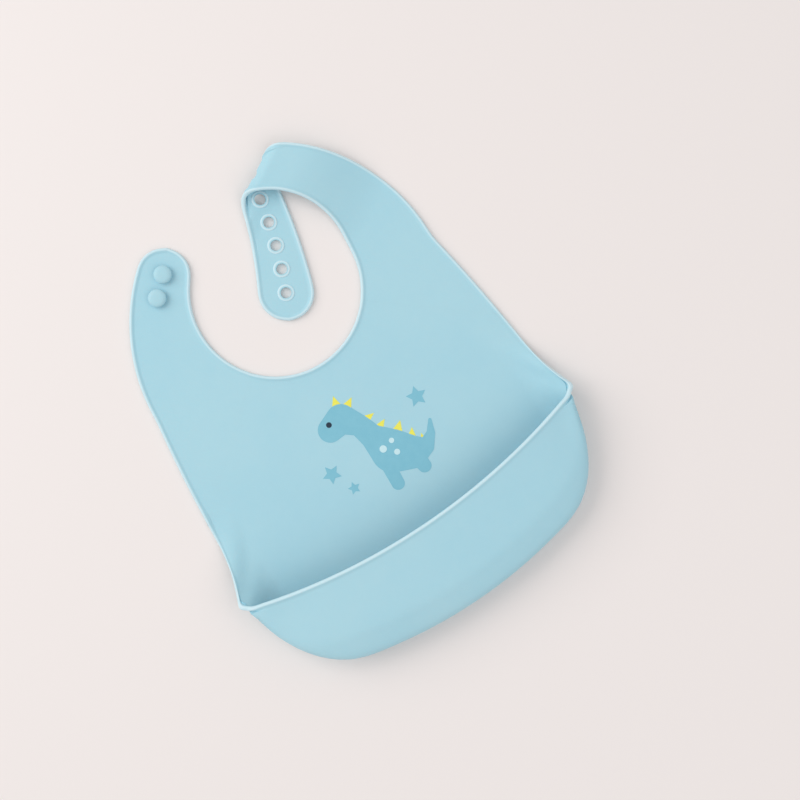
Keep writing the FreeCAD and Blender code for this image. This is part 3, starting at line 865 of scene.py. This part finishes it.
class Finish:
    """A material being made: node() adds a node with its settings, then its inputs.

    The keywords set the shader's own sockets, with underscores for the spaces in a name."""

    def __init__(self, name, **constants):
        self.material = bpy.data.materials.new(name)
        self.material.use_nodes = True
        self.tree = self.material.node_tree
        self.shader = self.tree.nodes["Principled BSDF"]
        self.feed(self.shader, {k.replace("_", " "): v for k, v in constants.items()})
        self.place = self.node("TexCoord", out="Object")

    def feed(self, node, inputs):
        """Links outputs to a node's sockets, and sets plain values on them."""
        for key, value in inputs.items():
            if isinstance(value, Level):
                self.tree.links.new(value.socket, node.inputs[key])
            else:
                node.inputs[key].default_value = value

    def node(self, kind, settings=None, inputs=None, out=0):
        """Output of a new node, whose settings are set before its sockets."""
        made = self.tree.nodes.new("ShaderNode" + kind)
        for key, value in (settings or {}).items():
            setattr(made, key, value)
        self.feed(made, inputs or {})
        return Level(self, made.outputs[out])

    def noise(self, size, detail=2.0, roughness=0.5):
        """Cloudy noise from 0 to 1 with blotches of a size in millimetres."""
        return self.node("TexNoise", inputs={"Vector": self.place, "Scale": 1 / (size * MM),
                                             "Detail": detail, "Roughness": roughness})

    def specks(self, size, radius):
        """1 inside small dots scattered one to a cell, 0 elsewhere."""
        inputs = {"Vector": self.place, "Scale": 1 / (size * MM)}
        cells = self.node("TexVoronoi", inputs=inputs, out="Distance")
        return 1 - cells.between(radius * 0.6, radius)

    def mix(self, share, first, second):
        """Colour between two, by a share from 0 to 1."""
        factor, colour_a, colour_b, result = 0, 6, 7, 2
        inputs = {factor: share, colour_a: first, colour_b: second}
        return self.node("Mix", {"data_type": "RGBA"}, inputs, out=result)

    def bump(self, height, depth, under=None):
        """Bump of a depth in millimetres, on top of another one."""
        inputs = {"Height": height, "Distance": depth * MM}
        if under is not None:
            inputs["Normal"] = under
        return self.node("Bump", inputs=inputs)


def colour(red, green, blue):
    """An opaque colour, in linear light."""
    return (red, green, blue, 1.0)


def silicone(name, body, deep, edge):
    """Soft matt silicone: slow shifts of tone, a faint bloom of dust, a fine spark-eroded skin,
    and a painted highlight of paler blue on the beads and hole rings.
    """
    finish = Finish(name, Specular_IOR_Level=0.34, Subsurface_Weight=0.06, Subsurface_Scale=0.0015,
                    Subsurface_Radius=(0.4, 0.9, 1.0), Sheen_Weight=0.06, Sheen_Roughness=0.4)
    slow = finish.noise(70.0).between(0.36, 0.64)
    cloud = finish.noise(7.0, 3.0, 0.6).between(0.34, 0.66)
    dusty_places = finish.noise(16.0).between(0.5, 0.62)
    dust = finish.specks(2.6, 0.07) * dusty_places
    rim = finish.node("Attribute", {"attribute_name": "rim"}, out="Fac")
    tone = finish.mix(slow * 0.55 + cloud * 0.18, body, deep)
    tone = finish.mix(dust * 0.4, tone, colour(0.86, 0.92, 0.94))
    # painted highlight: the rim attribute lightens beads, hole rings and hole walls towards a
    # paler blue
    tone = finish.mix(rim.between(0.5, 1.0) * 0.55, tone, edge)
    skin = finish.bump(finish.noise(0.35, 1.0), 0.022)
    skin = finish.bump(finish.noise(2.2, 2.0), 0.05, skin)
    skin = finish.bump(finish.noise(26.0, 1.0), 0.14, skin)
    rough = 0.50 + cloud * 0.07 - rim.between(0.3, 1.0) * 0.08 + dust * 0.2
    finish.feed(finish.shader, {"Base Color": tone, "Roughness": rough, "Normal": skin})
    return finish.material


def ink(name, body, deep, sheet_colour):
    """Printed ink: a little uneven, with pinholes where the silicone shows, and a soft grain."""
    finish = Finish(name, Specular_IOR_Level=0.30)
    cloud = finish.noise(4.0, 3.0, 0.6).between(0.32, 0.68)
    grain = finish.noise(0.5, 2.0).between(0.35, 0.65)
    pinholes = finish.specks(1.5, 0.055) * finish.noise(9.0).between(0.48, 0.6)
    tone = finish.mix(cloud * 0.6 + grain * 0.2, body, deep)
    tone = finish.mix(pinholes * 0.5, tone, sheet_colour)
    skin = finish.bump(finish.noise(0.35, 1.0), 0.02)
    skin = finish.bump(grain - pinholes, 0.03, skin)
    rough = 0.55 + cloud * 0.1
    finish.feed(finish.shader, {"Base Color": tone, "Roughness": rough, "Normal": skin})
    return finish.material


def dress(piece, material):
    """One material over a whole piece."""
    if not piece.data.materials:
        piece.data.materials.append(material)
    for slot in piece.material_slots:
        slot.material = material


SKY = colour(0.425, 0.694, 0.790)
SKY_DEEP = colour(0.390, 0.672, 0.782)
# paler blue of the painted highlight along the beads and hole rings
SKY_PAINTED_HIGHLIGHT = colour(0.76, 0.91, 0.96)
blue = silicone("sky_silicone", SKY, SKY_DEEP, SKY_PAINTED_HIGHLIGHT)
for piece in (apron, left_strap, right_strap, tab):
    dress(piece, blue)
button_blue = silicone("button_silicone", colour(0.455, 0.695, 0.77), SKY_DEEP, SKY_PAINTED_HIGHLIGHT)
for piece in buttons:
    dress(piece, button_blue)
INKS = {
    "ink_teal": (("print_animal", "print_stars"),
                 colour(0.235, 0.555, 0.685), colour(0.215, 0.53, 0.665)),
    "ink_yellow": (("print_plates",), colour(0.90, 0.86, 0.13), colour(0.86, 0.80, 0.10)),
    "ink_dark": (("print_eye",), colour(0.018, 0.035, 0.06), colour(0.03, 0.05, 0.08)),
    "ink_pale": (("print_spots",), colour(0.62, 0.85, 0.90), colour(0.56, 0.80, 0.87)),
}
for name, (nodes, body, deep) in INKS.items():
    material = ink(name, body, deep, SKY)
    for node in nodes:
        dress(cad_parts[node], material)


# ==== stage, light and camera, in metres ==================================================
TABLE_HALF = 3.0
TABLE_Z = -0.25 * MM            # a hair under the bib, so that their faces don't share a plane
CAMERA_TURN = math.radians(-33.96)          # the bib lies turned on the table
VIEW_CENTRE = np.array([28.7, 52.7]) * MM
CAMERA_HEIGHT = 0.9
VIEW_WIDTH = 0.48               # width of table in view
WORLD_STRENGTH = 0.60
VIEW_RIGHT = np.array([math.cos(CAMERA_TURN), math.sin(CAMERA_TURN)])
VIEW_UP = np.array([-math.sin(CAMERA_TURN), math.cos(CAMERA_TURN)])


def stage():
    """A plain pale table top."""
    half, low = TABLE_HALF, TABLE_Z
    corners = [(-half, -half, low), (half, -half, low), (half, half, low), (-half, half, low)]
    mesh = bpy.data.meshes.new("table")
    mesh.from_pydata(corners, [], [(0, 1, 2, 3)])
    table = bpy.data.objects.new("table", mesh)
    bpy.context.scene.collection.objects.link(table)
    top = Finish("table_top", Base_Color=colour(0.88, 0.825, 0.81), Roughness=0.6)
    dress(table, top.material)


def area_light(name, right, up, height, size, watts, tint):
    """Square lamp at a place given in the camera's own directions, aimed at the bib."""
    place = VIEW_CENTRE + VIEW_RIGHT * right + VIEW_UP * up
    lamp = bpy.data.lights.new(name, "AREA")
    lamp.size = size
    lamp.energy = watts
    lamp.color = tint
    holder = bpy.data.objects.new(name, lamp)
    holder.location = (*place, height)
    aim = Vector((*VIEW_CENTRE, 0)) - holder.location
    holder.rotation_euler = aim.to_track_quat("-Z", "Y").to_euler()
    bpy.context.scene.collection.objects.link(holder)


def light_and_camera():
    """Soft daylight from the upper left, a weak fill, an even world, and a camera overhead."""
    scene = bpy.context.scene
    area_light("window", right=-1.5, up=0.55, height=1.35, size=1.7, watts=22.0,
               tint=(1.0, 0.985, 0.965))
    area_light("room", right=0.9, up=-0.5, height=1.3, size=1.4, watts=4.6,
               tint=(0.97, 0.98, 1.0))
    world = bpy.data.worlds.new("room_light")
    world.use_nodes = True
    background = world.node_tree.nodes["Background"]
    background.inputs["Color"].default_value = colour(1.0, 0.99, 0.985)
    background.inputs["Strength"].default_value = WORLD_STRENGTH
    scene.world = world
    scene.view_settings.view_transform = "Standard"
    camera = bpy.data.cameras.new("camera")
    camera.sensor_width = 36.0
    camera.lens = camera.sensor_width * CAMERA_HEIGHT / VIEW_WIDTH
    holder = bpy.data.objects.new("camera", camera)
    holder.location = (*VIEW_CENTRE, CAMERA_HEIGHT)
    holder.rotation_euler = (0, 0, CAMERA_TURN)
    scene.collection.objects.link(holder)
    scene.camera = holder


stage()
light_and_camera()
